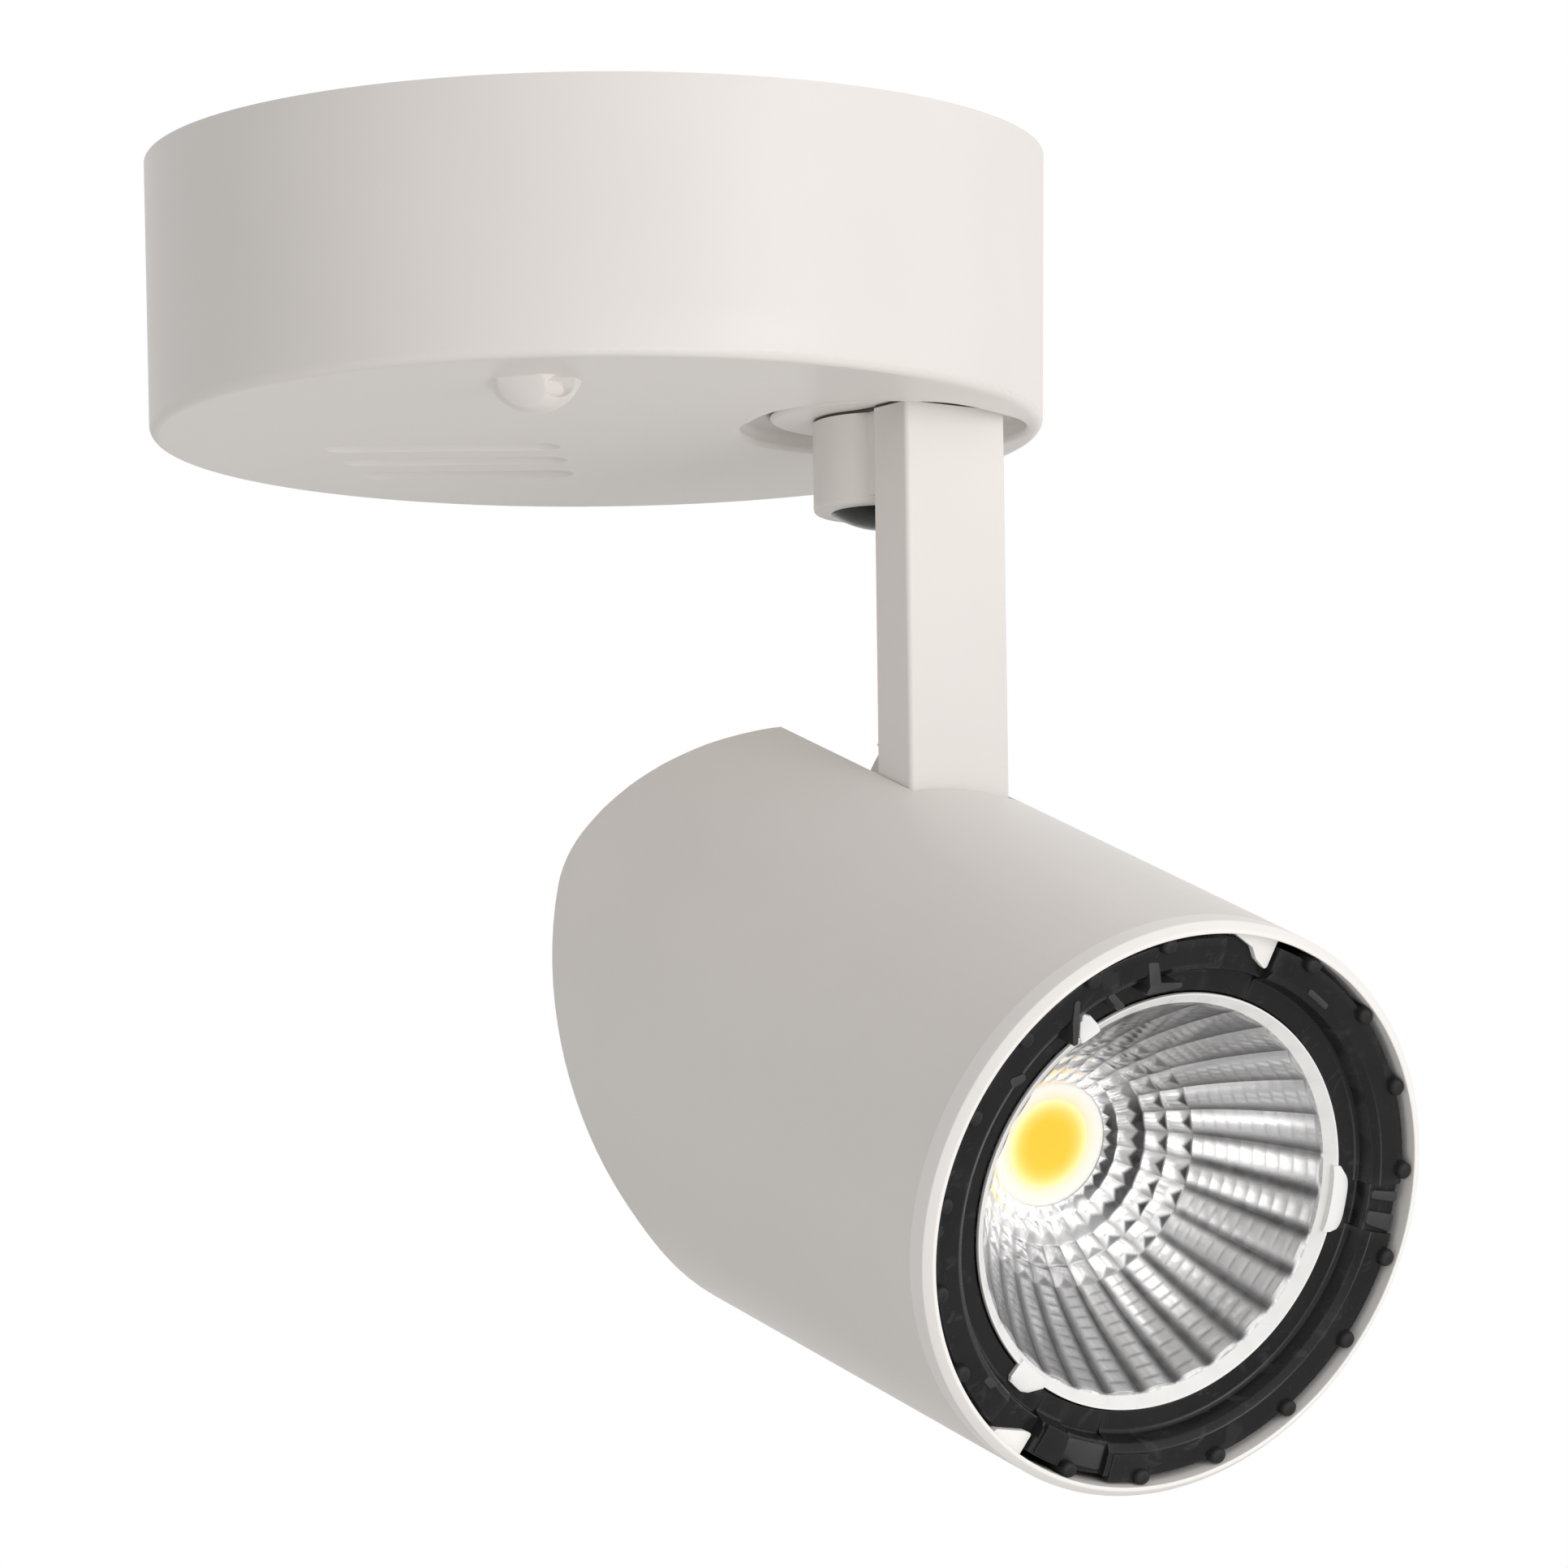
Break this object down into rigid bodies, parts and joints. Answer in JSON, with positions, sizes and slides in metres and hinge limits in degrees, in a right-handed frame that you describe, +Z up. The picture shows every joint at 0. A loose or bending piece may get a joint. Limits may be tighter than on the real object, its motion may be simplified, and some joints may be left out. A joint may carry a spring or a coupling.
{
  "type": "ceiling spotlight",
  "caption": "Ceiling spotlight: a round canopy holds a swivelling flat arm and a tilting tube head with a faceted reflector, for aiming light.",
  "frame": {"origin": "centre of the ceiling face, in the plane of the ceiling", "axes": "+Z up into the ceiling, +X from the canopy centre to the swivel, lamp hanging towards -Z in the pose of the picture"},
  "size_m": [0.1678, 0.1369, 0.1839],
  "materials": {
    "white_paint": "warm off-white powder coat, satin",
    "black_plastic": "black moulded plastic, half gloss, lightly scuffed",
    "black_rubber": "soft black",
    "reflector_silver": "vacuum-plated mirror facets",
    "light_yellow": "clear gel over yellow phosphor",
    "holder_white": "white moulded plastic",
    "board_white": "white solder mask on an aluminium board",
    "aluminium": "cast, lightly blasted",
    "zinc_steel": "bright zinc plating",
    "brass": "plain machined brass",
    "nylon_white": "natural white moulded plastic",
    "board_green": "green solder mask",
    "core_dark": "dark ferrite and tape",
    "can_blue": "dark blue sleeve",
    "lead_mains": "brown and blue insulation",
    "lead_red_black": "red and black insulation"
  },
  "bodies": {
    "base": {"canopy_shell": "white_paint", "ceiling_bracket": "zinc_steel", "fixing_pillar": "zinc_steel", "canopy_screw": "zinc_steel", "canopy_screw_cap": "white_paint", "driver_case": "nylon_white", "driver_lid": "nylon_white", "driver_board": "board_green", "driver_transformer": "core_dark", "driver_capacitors": "can_blue", "driver_screws": "zinc_steel", "terminal_block": "nylon_white", "terminal_screws": "brass", "earth_screw": "brass", "earth_tag": "brass", "cable_grommet": "black_rubber", "mains_leads": "lead_mains", "output_leads": "lead_red_black", "swivel_bush": "nylon_white", "stop_pin": "zinc_steel"},
    "arm": {"swivel_arm": "white_paint", "arm_wire_cover": "white_paint", "arm_leads": "lead_red_black", "boss_plug": "black_plastic", "hollow_stem": "zinc_steel", "swivel_collar": "white_paint", "tab_washer": "zinc_steel", "spring_washer": "zinc_steel", "stem_nut": "zinc_steel"},
    "head": {"head_tube": "white_paint", "rear_cover": "white_paint", "heat_sink": "aluminium", "led_board": "board_white", "light_disc": "light_yellow", "led_holder": "holder_white", "holder_screws": "zinc_steel", "reflector": "reflector_silver", "front_ring": "black_plastic", "tilt_bracket": "zinc_steel", "bracket_screws": "zinc_steel", "tilt_bolt": "zinc_steel", "tilt_nut": "zinc_steel", "tilt_washers": "nylon_white", "tube_screws": "zinc_steel", "head_leads": "lead_red_black"}
  },
  "joints": [
    {"name": "swivel", "type": "hinge", "parent": "base", "child": "arm", "pos_m": [0.0385, 0, -0.0372], "axis": [0, 0, 1], "range_deg": [-114, 224]},
    {"name": "tilt", "type": "hinge", "parent": "arm", "child": "head", "pos_m": [0.04584, -0.01036, -0.1137], "axis": [0.8161, 0.5779, 0], "range_deg": [0, 67.6]}
  ]
}
